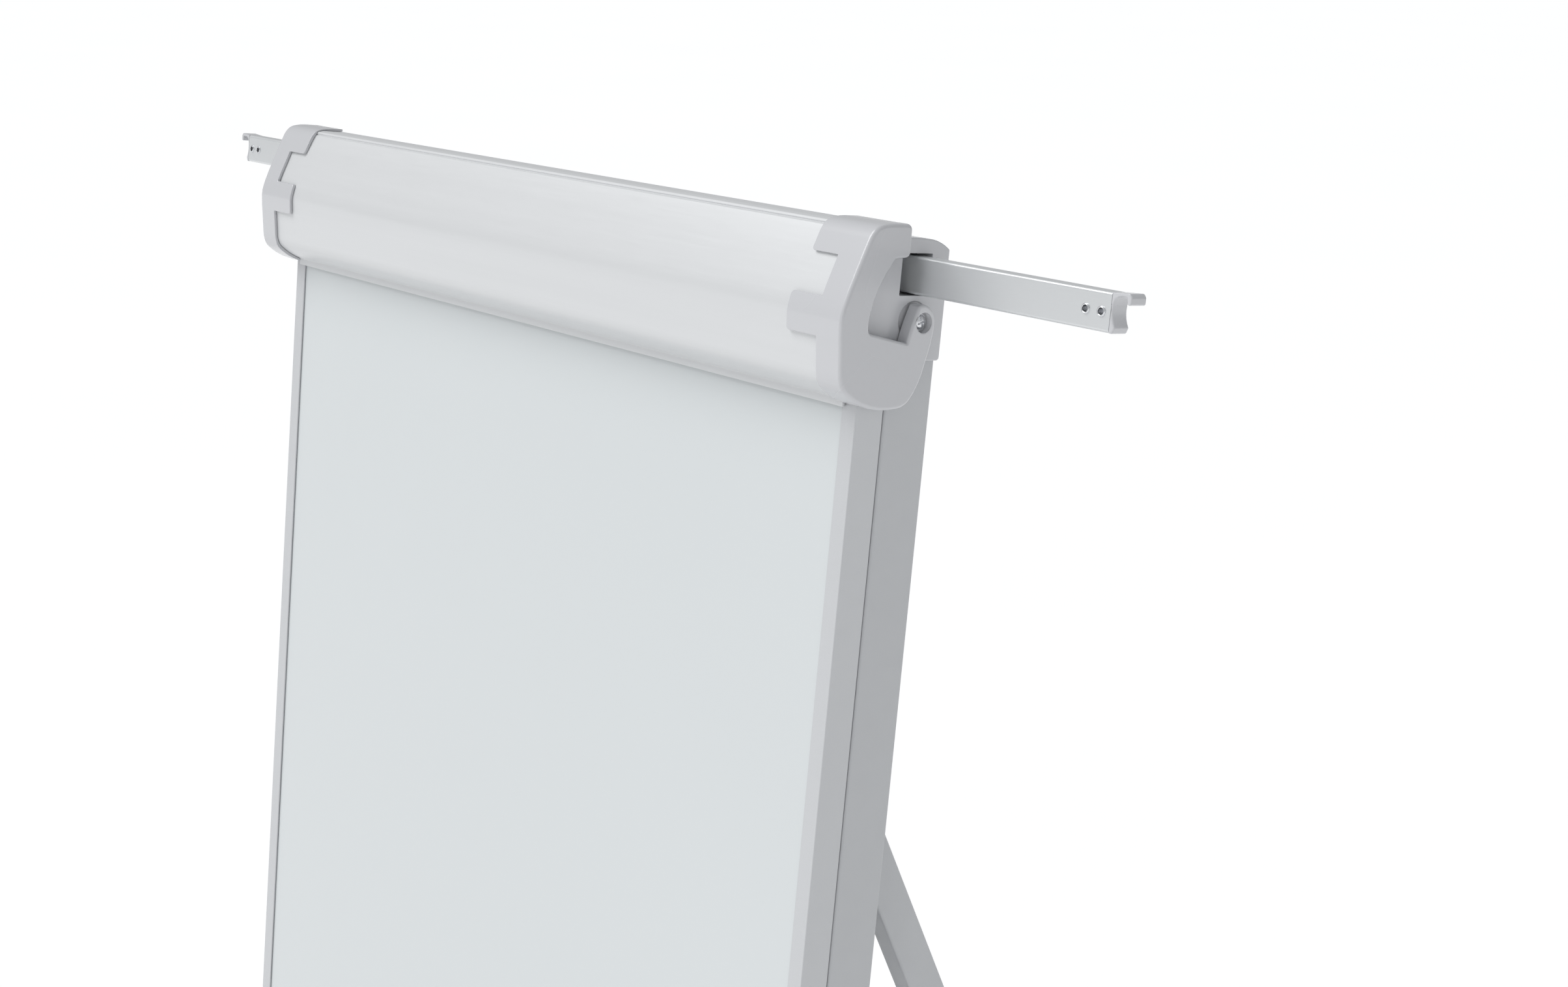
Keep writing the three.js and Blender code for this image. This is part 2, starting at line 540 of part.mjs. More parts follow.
// ---------------------------------------------------------------- castors
// Built standing on the floor around the swivel axis, trailing towards +Y.
function castorPieces(braked) {
  const { height, wheel, width, trail, stem, stemLength } = CASTOR;
  const plateTop = height - GAP;
  const plateBottom = 60;
  const inside = width / 2 + 1;
  const outside = inside + 2.5;
  const cheek = [[-13, plateTop], [-13, plateBottom], [trail - 8, 22], [trail - 4, 19.5],
    [trail + 4, 19.5], [trail + 8, 22], [trail + 10, 34], [trail - 1, plateTop]].map(toVector);
  const yoke = prism('x', cheek, -outside, outside);
  const gap = box(-inside, inside, -20, trail + 20, 0, plateBottom);
  const swivel = rod('u', 0, 0, stem, plateTop - 2, height + stemLength, 20);
  const axleHole = rod('x', trail, wheel, 3.3, -outside - 1, outside + 1, 16);
  const fork = cut(join(yoke, swivel), gap, axleHole);

  // flats of the tread face the floor, so the vertices stand a little further out
  const sides = 28;
  const reach = wheel / Math.cos(Math.PI / sides);
  const half = width / 2;
  const profile = [[-half, 3.3], [-half, 9], [-half + 2, reach - 7], [-half, reach - 5],
    [-half + 2, reach], [half - 2, reach], [half, reach - 5], [half - 2, reach - 7],
    [half, 9], [half, 3.3], [-half, 3.3]];
  const points = profile.map(([along, radius]) => new THREE.Vector2(radius, along));
  const roller = new THREE.LatheGeometry(points, sides);
  roller.rotateY(Math.PI / sides).rotateZ(-Math.PI / 2).translate(0, trail, wheel);

  const axle = turnedX([[-outside - 1.6, 0], [-outside - 1.6, 4.2], [-outside - GAP, 4.6], [-outside - GAP, 3],
    [outside + GAP, 3], [outside + GAP, 4.6], [outside + 1.6, 4.2], [outside + 1.6, 0]], trail, wheel, 16);
  const pieces = { fork: [fork, 'dark'], wheel: [toGeometry(toSolid(roller)), 'dark'], axle: [axle, 'steel'] };
  if (braked) {
    const pedal = [[trail + 3, 60.5], [trail + 3, 64], [trail + 8, 66], [trail + 30, 59],
      [trail + 30, 56], [trail + 12, 58.8]].map(toVector);
    pieces.brake = [prism('x', pedal, -inside + 1, inside - 1), 'dark'];
  }
  return pieces;
}

function addCastors() {
  const rearX = (REAR_LEG.x0 + REAR_LEG.x1) / 2;
  const stations = [['front_right', UPRIGHT_X, frontFoot.y, true], ['front_left', -UPRIGHT_X, frontFoot.y, true],
    ['rear_right', rearX, rearFootY, false], ['rear_left', -rearX, rearFootY, false]];
  for (const [where, x, y, braked] of stations) {
    for (const [piece, [geometry, look]] of Object.entries(castorPieces(braked))) {
      add(easel, `castor_${piece}_${where}`, geometry, look).position.set(x, y, 0);
    }
  }
}

addBoard();
addFrontLegs();
addTopCovers();
addClampBar();
addArms();
addPegsAndTray();
addRearLegs();
addBraces();
addCastors();

// Stand the easel with its bounding box centred over the origin.
easel.updateMatrixWorld(true);
const bounds = new THREE.Box3().setFromObject(easel);
easel.position.y = -(bounds.min.y + bounds.max.y) / 2;
easel.updateMatrixWorld(true);

export default easel;
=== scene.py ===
import json
import math

import bmesh
import bpy
from mathutils import Matrix, Vector


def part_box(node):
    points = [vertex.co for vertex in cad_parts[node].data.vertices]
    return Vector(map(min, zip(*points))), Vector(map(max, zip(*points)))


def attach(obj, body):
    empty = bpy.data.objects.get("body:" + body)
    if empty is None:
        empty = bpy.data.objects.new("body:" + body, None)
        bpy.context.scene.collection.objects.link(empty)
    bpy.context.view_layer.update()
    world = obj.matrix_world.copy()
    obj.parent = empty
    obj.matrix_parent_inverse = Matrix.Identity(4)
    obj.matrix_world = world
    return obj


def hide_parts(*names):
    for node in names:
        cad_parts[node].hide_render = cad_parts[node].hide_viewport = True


# Rolling flip-chart whiteboard. Fine pieces are drawn in millimetres in the leaning frame of the
# board: x across, n rearwards from the front of its frame, u up along it from the clamp's hinge.
# Outlines lie across one of these axes, and list corners as (a, b, corner radius, edge radius):
# (n, u) across x, (x, u) across n and (x, n) across u.

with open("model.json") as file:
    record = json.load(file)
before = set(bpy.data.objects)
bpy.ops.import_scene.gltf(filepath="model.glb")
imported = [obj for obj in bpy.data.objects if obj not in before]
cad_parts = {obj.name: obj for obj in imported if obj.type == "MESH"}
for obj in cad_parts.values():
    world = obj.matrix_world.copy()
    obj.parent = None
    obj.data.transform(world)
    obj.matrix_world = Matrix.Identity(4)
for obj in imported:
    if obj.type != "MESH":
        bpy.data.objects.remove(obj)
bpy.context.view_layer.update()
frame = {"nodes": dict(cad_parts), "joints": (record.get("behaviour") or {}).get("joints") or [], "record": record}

MM = 0.001
JOINTS = {joint["name"]: joint for joint in frame["joints"]}
MOUNTS = {mount["name"]: mount for mount in frame["record"]["mounts"]}
SLOTS = {part["node"]: part["material_slot"] for part in frame["record"]["subparts"]}
BODIES = frame["record"]["behaviour"]["bodies"]
BODY_OF = {node: body for body, nodes in BODIES.items() for node in nodes}
SIDES = ("right", "left")

HINGE_N = 37.3                # the clamp's hinge lies on the x axis at this n
LEAN = math.asin(MOUNTS["writing_surface"]["axis"][2])
HINGE = Vector(JOINTS["clamp_hinge"]["pos_m"])
TURN = Matrix.Rotation(-LEAN, 4, "X")
LEANING = Matrix.Translation(HINGE - TURN @ Vector((0, HINGE_N * MM, 0))) @ TURN @ Matrix.Scale(MM, 4)
HALF_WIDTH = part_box("frame_rail_right")[1].x / MM
GAP = 0.3                     # between pieces that meet
BIG = 99.0                    # a corner radius as large as its edges allow
ARC_STEP = math.radians(10)
STRAIGHT = 0.01               # a corner that turns by less, in radians, stays as it is
TINY = 0.02                   # outline points closer than this are one
SHARPEST = 0.35               # limits how far a point moves at a very sharp corner


# ------------------------------------------------------------------ outlines
def arc_corner(before, corner, after, radius):
    """The points of the arc that rounds one corner of an outline."""
    to_before = before - corner
    to_after = after - corner
    angle = to_before.angle(to_after)
    if radius <= 0 or angle > math.pi - STRAIGHT:
        return [corner]
    longest = 0.5 * min(to_before.length, to_after.length)
    reach = min(radius / math.tan(angle / 2), longest)
    radius = reach * math.tan(angle / 2)
    start = corner + to_before.normalized() * reach
    end = corner + to_after.normalized() * reach
    middle = (to_before.normalized() + to_after.normalized()).normalized()
    centre = corner + middle * (radius / math.sin(angle / 2))
    from_centre = start - centre
    turn = from_centre.angle_signed(end - centre)
    steps = max(1, math.ceil(abs(turn) / ARC_STEP))
    points = []
    for i in range(steps + 1):
        swung = from_centre.copy()
        swung.rotate(Matrix.Rotation(-turn * i / steps, 2))
        points.append(centre + swung)
    return points


def outline(corners, closed=True):
    """Turns corners into (point, edge radius) pairs, with an arc at each rounded corner."""
    places = [Vector(corner[:2]) for corner in corners]
    radii = [corner[2] if len(corner) > 2 else 0 for corner in corners]
    edges = [corner[3] if len(corner) > 3 else 0 for corner in corners]
    made = []
    count = len(places)
    for i, place in enumerate(places):
        if not closed and i in (0, count - 1):
            points = [place]
        else:
            points = arc_corner(places[i - 1], place, places[(i + 1) % count], radii[i])
        closest = min(0.2, 0.1 * radii[i])
        for point in points:
            if not made or (point - made[-1][0]).length > closest:
                made.append((point, edges[i]))
    if closed and (made[0][0] - made[-1][0]).length < TINY:
        made.pop()
    return made


def points_of(pairs):
    return [point for point, _ in pairs]


def area(points):
    """Above zero for an outline that runs anticlockwise."""
    return sum(a.cross(b) for a, b in zip(points, points[1:] + points[:1])) / 2


def shifted(points, distances, closed=True):
    """The outline with each point moved its own distance to the left of the way it runs."""
    moved = []
    count = len(points)
    for i, point in enumerate(points):
        before = points[i - 1] if closed or i else point
        after = points[(i + 1) % count] if closed or i < count - 1 else point
        first = (point - before).normalized() if point != before else (after - point).normalized()
        second = (after - point).normalized() if after != point else first
        normal_a = Vector((-first.y, first.x))
        normal_b = Vector((-second.y, second.x))
        miter = normal_a + normal_b
        miter = miter / max(miter.length_squared / 2, SHARPEST)
        moved.append(point + miter * distances[i])
    return moved


def rectangle(a0, a1, b0, b1, radius=0.0):
    return [(a0, b0, radius), (a1, b0, radius), (a1, b1, radius), (a0, b1, radius)]


def circle(a, b, radius, sides):
    turns = [2 * math.pi * i / sides for i in range(sides)]
    return [Vector((a + radius * math.cos(t), b + radius * math.sin(t))) for t in turns]


# ------------------------------------------------------------------ meshes
CUT_MERGE = 0.004             # points this close after a cut are one


def at(axis, along, a, b):
    """A point of the leaning frame, from a place in the outline's plane."""
    return {"x": (along, a, b), "n": (a, along, b), "u": (a, b, along)}[axis]


def loft(name, rings, closed=False):
    """A solid through rings of the same number of points. A closed one joins its last ring to its first."""
    count = len(rings[0])
    vertices = [point for ring in rings for point in ring]
    faces = []
    total = len(rings)
    for r in range(total if closed else total - 1):
        here = r * count
        there = (r + 1) % total * count
        for i in range(count):
            j = (i + 1) % count
            faces.append((here + i, here + j, there + j, there + i))
    if not closed:
        faces.append(tuple(range(count)))
        faces.append(tuple(range((total - 1) * count, total * count)))
    mesh = bpy.data.meshes.new(name)
    mesh.from_pydata(vertices, [], faces)
    clean(mesh)
    obj = bpy.data.objects.new(name, mesh)
    bpy.context.scene.collection.objects.link(obj)
    return obj


def clean(mesh, flat=0.0, merge=1e-6):
    """Merges points that coincide, joins faces that turn by less than flat, and faces them outwards."""
    work = bmesh.new()
    work.from_mesh(mesh)
    bmesh.ops.remove_doubles(work, verts=work.verts, dist=merge)
    if flat:
        bmesh.ops.dissolve_limit(work, angle_limit=flat, verts=work.verts, edges=work.edges)
    bmesh.ops.recalc_face_normals(work, faces=work.faces)
    work.to_mesh(mesh)
    work.free()


def prism(name, axis, corners, low, high):
    """A solid with one outline from low to high along the axis."""
    points = points_of(outline(corners))
    return loft(name, [[at(axis, along, *p) for p in points] for along in (low, high)])


def pillow(name, axis, corners, low, high, ends=(False, True), steps=5):
    """A prism whose edges are rounded at the ends asked for, by each corner's own edge radius."""
    pairs = outline(corners)
    points = points_of(pairs)
    inwards = 1 if area(points) > 0 else -1
    rings = []
    for end, face, sign in ((0, low, 1), (1, high, -1)):
        turns = range(steps + 1) if ends[end] else [0]
        made = []
        for k in turns:
            turn = math.pi / 2 * k / steps
            insets = [inwards * edge * (1 - math.cos(turn)) for _, edge in pairs]
            moved = shifted(points, insets)
            depths = [edge * (1 - math.sin(turn)) if ends[end] else 0 for _, edge in pairs]
            made.append([at(axis, face + sign * d, *p) for p, d in zip(moved, depths)])
        rings += made[::-1] if end == 0 else made
    return loft(name, rings)


def turned(name, axis, a, b, profile, closed=False, sides=48):
    """A body of revolution about (a, b), from pairs of distance along the axis and radius."""
    rings = [[at(axis, along, *p) for p in circle(a, b, radius, sides)] for along, radius in profile]
    return loft(name, rings, closed)


def tube(name, axis, outer, inner, low, high):
    """A hollow tube between two rectangles (a0, a1, b0, b1, corner radius)."""
    rings = []
    for a0, a1, b0, b1, radius, places in ((*outer, (low, high)), (*inner, (high, low))):
        points = points_of(outline(rectangle(a0, a1, b0, b1, radius)))
        rings += [[at(axis, along, *p) for p in points] for along in places]
    return loft(name, rings, closed=True)


def bake(obj):
    """Applies the object's modifiers to its mesh."""
    depsgraph = bpy.context.evaluated_depsgraph_get()
    mesh = bpy.data.meshes.new_from_object(obj.evaluated_get(depsgraph))
    obj.modifiers.clear()
    obj.data = mesh


def carve(base, *tools, operation="DIFFERENCE"):
    """Cuts the tools out of the base, or joins them to it, and removes them."""
    for tool in tools:
        modifier = base.modifiers.new("carve", "BOOLEAN")
        modifier.operation = operation
        modifier.solver = "EXACT"
        modifier.object = tool
    bake(base)
    for tool in tools:
        bpy.data.objects.remove(tool)
    clean(base.data, merge=CUT_MERGE)
    if not base.data.polygons:
        raise RuntimeError(f"nothing is left of {base.name}")
    return base


def block(x0, x1, n0, n1, u0, u1, radius=0.0):
    return prism("tool", "x", rectangle(n0, n1, u0, u1, radius), x0, x1)


def rod(axis, a, b, radius, low, high):
    return turned("tool", axis, a, b, [(low, radius), (high, radius)])


# ------------------------------------------------------------------ pieces
SHARP = math.radians(35)      # edges that turn by more are bevelled
FLAT = math.radians(0.4)      # CAD triangles that turn by less are one face


def dress(obj, node, bevel, segments=3):
    """Makes obj the shown piece for a CAD node: soft edges, smooth shading, body, slot and material."""
    mesh = obj.data
    mesh.shade_smooth()
    mesh.set_sharp_from_angle(angle=SHARP)
    if bevel:
        soft = obj.modifiers.new("soft_edges", "BEVEL")
        soft.width = bevel * MM
        soft.segments = segments
        soft.limit_method = "ANGLE"
        soft.angle_limit = SHARP
        soft.use_clamp_overlap = False
        soft.loop_slide = False
    shade = obj.modifiers.new("face_normals", "WEIGHTED_NORMAL")
    shade.keep_sharp = True
    mesh.materials.clear()
    mesh.materials.append(MATERIALS[SLOTS[node]])
    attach(obj, BODY_OF[node])
    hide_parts(node)


def show(obj, node, **looks):
    """Puts a piece drawn in the leaning frame in its place."""
    obj.name = f"{node}_fine"
    obj.data.transform(LEANING)
    dress(obj, node, **looks)


def show_pair(obj, stem, **looks):
    """Puts a piece drawn for the right side in its place, and its mirror image on the left."""
    mesh = obj.data.copy()
    mesh.transform(Matrix.Scale(-1, 4, (1, 0, 0)))
    mesh.flip_normals()
    left = bpy.data.objects.new("left", mesh)
    bpy.context.scene.collection.objects.link(left)
    show(obj, f"{stem}_right", **looks)
    show(left, f"{stem}_left", **looks)


def refine(node, bevel, segments):
    """A softened copy of a CAD node whose shape is already right."""
    mesh = frame["nodes"][node].data.copy()
    clean(mesh, flat=FLAT)
    if mesh.attributes.get("custom_normal"):
        mesh.attributes.remove(mesh.attributes["custom_normal"])
    obj = bpy.data.objects.new(f"{node}_fine", mesh)
    bpy.context.scene.collection.objects.link(obj)
    dress(obj, node, bevel, segments)


# ------------------------------------------------------------------ materials
class Look:
    """A Principled material with small procedural variation in object space."""

    def __init__(self, name, colour, roughness, metallic=0.0, coat=0.0, specular=0.5):
        self.colour = colour
        self.roughness = roughness
        self.material = bpy.data.materials.new(name)
        self.material.use_nodes = True
        self.nodes = self.material.node_tree.nodes
        self.links = self.material.node_tree.links
        self.coordinates = self.nodes.new("ShaderNodeTexCoord")
        self.shader = next(n for n in self.nodes if n.type == "BSDF_PRINCIPLED")
        self.shader.inputs["Metallic"].default_value = metallic
        self.shader.inputs["Coat Weight"].default_value = coat
        self.shader.inputs["Coat Roughness"].default_value = 0.12
        self.shader.inputs["Specular IOR Level"].default_value = specular
        self.shader.inputs["Roughness"].default_value = roughness
        self.shader.inputs["Base Color"].default_value = (*colour, 1)

    def noise(self, scale, stretch=(1, 1, 1), detail=3.0):
        """Noise with `scale` grains to the metre."""
        mapping = self.nodes.new("ShaderNodeMapping")
        mapping.inputs["Scale"].default_value = stretch
        texture = self.nodes.new("ShaderNodeTexNoise")
        texture.inputs["Scale"].default_value = scale
        texture.inputs["Detail"].default_value = detail
        self.links.new(self.coordinates.outputs["Object"], mapping.inputs["Vector"])
        self.links.new(mapping.outputs["Vector"], texture.inputs["Vector"])
        return texture.outputs["Fac"]

    def tint(self, fac, spread):
        """Lightens and darkens the colour by `spread` either way."""
        ramp = self.nodes.new("ShaderNodeValToRGB")
        ramp.color_ramp.interpolation = "EASE"
        ramp.color_ramp.elements[0].position = 0.2
        ramp.color_ramp.elements[1].position = 0.8
        ramp.color_ramp.elements[0].color = (*[c * (1 - spread) for c in self.colour], 1)
        ramp.color_ramp.elements[1].color = (*[min(c * (1 + spread), 1) for c in self.colour], 1)
        self.links.new(fac, ramp.inputs["Fac"])
        self.links.new(ramp.outputs["Color"], self.shader.inputs["Base Color"])
        return self

    def roughen(self, fac, spread):
        """Varies the roughness by `spread` either way."""
        span = self.nodes.new("ShaderNodeMapRange")
        span.interpolation_type = "SMOOTHSTEP"
        span.inputs["From Min"].default_value = 0.2
        span.inputs["From Max"].default_value = 0.8
        span.inputs["To Min"].default_value = self.roughness - spread
        span.inputs["To Max"].default_value = self.roughness + spread
        self.links.new(fac, span.inputs["Value"])
        self.links.new(span.outputs["Result"], self.shader.inputs["Roughness"])
        return self

    def bump(self, fac, depth_mm, strength):
        """Raises and lowers the surface by the noise."""
        bump = self.nodes.new("ShaderNodeBump")
        bump.inputs["Distance"].default_value = depth_mm * MM
        bump.inputs["Strength"].default_value = strength
        self.links.new(fac, bump.inputs["Height"])
        self.links.new(bump.outputs["Normal"], self.shader.inputs["Normal"])
        return self


ALONG_X = (0.02, 1, 1)        # noise stretched into lines along x


def board_enamel():
    look = Look("board_enamel", (0.62, 0.65, 0.66), 0.34, coat=0.2)
    cloud = look.noise(2.5)
    look.tint(cloud, 0.006).roughen(look.noise(25), 0.03)
    return look.bump(look.noise(900), 0.004, 0.15)


def backing():
    look = Look("backing", (0.36, 0.37, 0.38), 0.62)
    grain = look.noise(900, (1, 1, 0.15), 5)
    return look.tint(grain, 0.06).roughen(grain, 0.08).bump(grain, 0.08, 0.5)


def powder_coat(name, colour):
    look = Look(name, colour, 0.42, metallic=0.15)
    speckle = look.noise(2200, detail=2)
    look.tint(speckle, 0.025).roughen(look.noise(90), 0.05)
    return look.bump(speckle, 0.02, 0.35)


def bar_aluminium():
    look = Look("bar_aluminium", (0.66, 0.67, 0.68), 0.36, metallic=0.15)
    lines = look.noise(1500, ALONG_X, 4)
    look.tint(look.noise(120, ALONG_X), 0.012).roughen(lines, 0.05)
    return look.bump(lines, 0.01, 0.25)


def arm_aluminium():
    look = Look("arm_aluminium", (0.69, 0.705, 0.715), 0.32, metallic=0.55)
    lines = look.noise(2600, ALONG_X, 5)
    look.tint(lines, 0.008).roughen(lines, 0.03)
    return look.bump(lines, 0.004, 0.1)


def grey_plastic():
    look = Look("grey_plastic", (0.55, 0.555, 0.575), 0.27, coat=0.35)
    look.tint(look.noise(6, detail=0), 0.008).roughen(look.noise(14, detail=0), 0.02)
    return look.bump(look.noise(1800, detail=1), 0.003, 0.15)


def dark_plastic():
    look = Look("dark_plastic", (0.045, 0.046, 0.05), 0.5)
    grain = look.noise(1400, detail=3)
    return look.tint(look.noise(60), 0.1).roughen(grain, 0.08).bump(grain, 0.06, 0.6)


def wheel_rubber():
    look = Look("wheel_rubber", (0.075, 0.076, 0.08), 0.66)
    scuff = look.noise(300, detail=6)
    return look.tint(scuff, 0.18).roughen(scuff, 0.1).bump(look.noise(1100), 0.05, 0.5)


def fastener_steel():
    look = Look("fastener_steel", (0.72, 0.73, 0.75), 0.28, metallic=1.0)
    marks = look.noise(700, detail=4)
    return look.tint(marks, 0.03).roughen(marks, 0.06).bump(marks, 0.01, 0.2)


def brace_steel():
    look = Look("brace_steel", (0.52, 0.53, 0.55), 0.34, metallic=0.9)
    spangle = look.noise(260, detail=4)
    return look.tint(spangle, 0.08).roughen(spangle, 0.1).bump(spangle, 0.015, 0.3)


MATERIALS = {
    "board_enamel": board_enamel().material,
    "backing": backing().material,
    "frame_metal": powder_coat("frame_metal", (0.56, 0.57, 0.585)).material,
    "leg_metal": powder_coat("leg_metal", (0.50, 0.51, 0.525)).material,
    "bar_aluminium": bar_aluminium().material,
    "arm_aluminium": arm_aluminium().material,
    "grey_plastic": grey_plastic().material,
    "dark_plastic": dark_plastic().material,
    "wheel_rubber": wheel_rubber().material,
    "fastener_steel": fastener_steel().material,
    "brace_steel": brace_steel().material,
}


# ------------------------------------------------------------------ clamp bar and end caps
CAP_INNER = HALF_WIDTH + 3.0
CAP_OUTER = HALF_WIDTH + 12.5
RIM_EDGE = HALF_WIDTH - 10    # inner edge of the caps' rims
BAR_END = CAP_INNER - 1
BAR_WALL = 2.0
LIP_END = RIM_EDGE + 0.5      # the lip stops where the caps' rims begin
LIP_ROOT = -49.3
BAR_LINE = [(16.8, 57.2), (-1, 57.2, 4), (-5.2, 56.3, 1.2), (-6.4, 54.8, 0.5), (-5.5, 54.2, 0.3),
            (-7.2, 53.2, 0.8), (-12.3, 44, BIG), (-18.6, 28, BIG), (-23.6, 15.9, BIG), (-27.2, 4.6, BIG),
            (-27.3, -4, BIG), (-26.1, -12.5, BIG), (-24.1, -33, BIG), (-21.8, -38, BIG), (-13, -44.7, BIG),
            (-3, -48.9, 0.6), (-2.9, -53.8)]


def clamp_bar():
    """A curved sheet with a bead along its top, and a lip along its bottom that rests on the board."""
    line = points_of(outline(BAR_LINE, closed=False))
    plain = points_of(outline([BAR_LINE[0], (-6, 57.2, 4), *BAR_LINE[6:]], closed=False))
    inner = shifted(plain, [BAR_WALL] * len(plain), closed=False)
    section = line + inner[::-1]
    trimmed = [Vector((p.x, max(p.y, LIP_ROOT))) for p in section]
    half = [(LIP_END, section), (LIP_END, trimmed), (BAR_END, trimmed)]
    stations = [(-along, shape) for along, shape in reversed(half)] + half
    return loft("bar", [[at("x", along, *p) for p in shape] for along, shape in stations])


FRONT = 2.6                   # edge radius of the cap's front, top and bottom
SIDE = 2.0                    # edge radius round its window
CAP_CORNERS = [
    (21.1, 59.2, 4.0, FRONT), (21.1, 39.2, 3.6, SIDE), (9.8, 38.3, 2.6, SIDE), (4.4, 30.8, BIG, SIDE),
    (-2.6, 20.2, BIG, SIDE), (-6.0, 8.2, BIG, SIDE), (-7.2, -1.0, BIG, SIDE), (-6.4, -6.0, 2.6, SIDE),
    (25.1, -12.3, 0.5, SIDE), (26.4, -6.5, BIG, SIDE), (29.2, 2.0, BIG, SIDE), (32.6, 10.4, 3.0, SIDE),
    (37.4, 11.3, BIG, SIDE), (42.6, 8.9, BIG, SIDE), (46.0, 4.0, BIG, SIDE), (46.8, -2.6, BIG, SIDE),
    (45.9, -9.5, BIG, SIDE), (42.8, -25.0, BIG, 2.4), (37.9, -38.3, BIG, 2.4), (32.0, -48.0, BIG, 2.6),
    (26.6, -51.8, BIG, 2.6), (15, -53.4, BIG, 2.6), (-0.4, -52.3, BIG, 2.6), (-14.6, -46.9, BIG, FRONT),
    (-23.9, -39.9, BIG, FRONT), (-26.4, -33.2, BIG, FRONT), (-28.5, -12.7, BIG, FRONT),
    (-29.7, -4, BIG, FRONT), (-29.6, 4.8, BIG, FRONT), (-25.8, 16.8, BIG, FRONT), (-20.9, 28.9, BIG, FRONT),
    (-16.2, 40.5, BIG, FRONT), (-10.9, 52.8, BIG, FRONT), (-6.3, 57.4, BIG, FRONT), (2, 59.2, BIG, FRONT)]
CAP_REACH = HALF_WIDTH - 55   # further inwards than the tabs
LOWER_TAB = RIM_EDGE - 27.5
UPPER_TAB = RIM_EDGE - 24
TAB_CORNER = 2.4
RIM_CORNER = 0.8
SNUG = 0.15                   # between the bar and its cap
RECESS = 6.15
SCREW_HOLE = 3.4
FAR = 95                      # past every outline


def cap_cavity():
    """The space behind the rim, which the bar's end fills."""
    line = points_of(outline(BAR_LINE[:-2] + [(-0.8, -49.9)], closed=False))
    snug = shifted(line, [-SNUG] * len(line), closed=False)
    first, last = line[0], line[-1]
    rear = [Vector((last.x, -FAR)), Vector((FAR, -FAR)), Vector((FAR, FAR)), Vector((first.x, FAR))]
    section = snug + rear
    ends = (CAP_REACH - 15, CAP_INNER)
    return loft("cavity", [[at("x", along, *p) for p in section] for along in ends])


def rim_trim():
    """What is cut away in front view to leave the rim and its two tabs."""
    start = CAP_REACH - 5
    corners = [(start, -FAR), (RIM_EDGE, -FAR), (RIM_EDGE, -10.5, RIM_CORNER),
               (LOWER_TAB, -10.5, TAB_CORNER), (LOWER_TAB, 13.5, TAB_CORNER), (RIM_EDGE, 13.5, RIM_CORNER),
               (RIM_EDGE, 38, RIM_CORNER), (UPPER_TAB, 38, TAB_CORNER), (UPPER_TAB, FAR), (start, FAR)]
    return prism("trim", "n", corners, -FAR, FAR)


def end_cap():
    """A rim with two tabs over the bar, and a side wall with a window and a lug round the screw."""
    body = pillow("cap", "x", CAP_CORNERS, CAP_REACH, CAP_OUTER)
    flare = [(-5.2, -0.4), (-4.8, -0.1), (-0.7, 0), (-0.2, 0.25), (0.6, 1.2)]
    profile = [(CAP_OUTER + along, RECESS + wider) for along, wider in flare]
    recess = turned("tool", "x", HINGE_N, 0, profile)
    hole = rod("x", HINGE_N, 0, SCREW_HOLE, CAP_INNER - 2, CAP_OUTER)
    return carve(body, cap_cavity(), rim_trim(), recess, hole)


def pivot_screw():
    """A pan head with a cross recess, its washer and its shank."""
    base = CAP_OUTER - 4.9
    shank, washer, head = 3.0, 5.3, 4.5
    washer_face = base + 0.5
    height = 2.3
    turns = [i * math.pi / 20 for i in range(10)]
    dome = [(washer_face + height * math.sin(t), head * math.cos(t)) for t in turns]
    profile = [(HALF_WIDTH - 8, shank), (base, shank), (base, washer), (washer_face, washer), *dome]
    screw = turned("screw", "x", HINGE_N, 0, profile)
    slots = []
    for degrees in (20, 110):
        slot = block(base + 1.2, base + 4, -0.55, 0.55, -2.6, 2.6)
        turn = Matrix.Rotation(math.radians(degrees), 4, "X")
        slot.data.transform(Matrix.Translation((0, HINGE_N, 0)) @ turn)
        slots.append(slot)
    return carve(screw, *slots)


# ------------------------------------------------------------------ top covers
COVER_CORNERS = [
    (-11.5, -25, 1.6, 1.0), (62.6, -25, 2.2, 1.0), (62.6, 43.4, 1.6, 1.0), (58.2, 46.2, BIG, 1.0),
    (51.8, 48.8, BIG, 1.0), (44, 50.0, BIG, 1.0), (32, 50.4, BIG, 1.0), (15, 49.9, BIG, 1.0),
    (1.5, 44.6, BIG, 1.0), (-7, 31, BIG, 1.0), (-11.2, 14, BIG, 1.0), (-12.1, -4, BIG, 1.0)]
COVER_INNER = HALF_WIDTH - 28
COVER_FACE = HALF_WIDTH + 2.4
POCKET = 11.9                 # radius of the shallow pocket that the cap's lug turns over
GUIDE_END = HALF_WIDTH - 12
GUIDE_N = (31.8, 48.6)
GUIDE_U = (14.2, 41.1)
GUIDE_WALL = 1.4


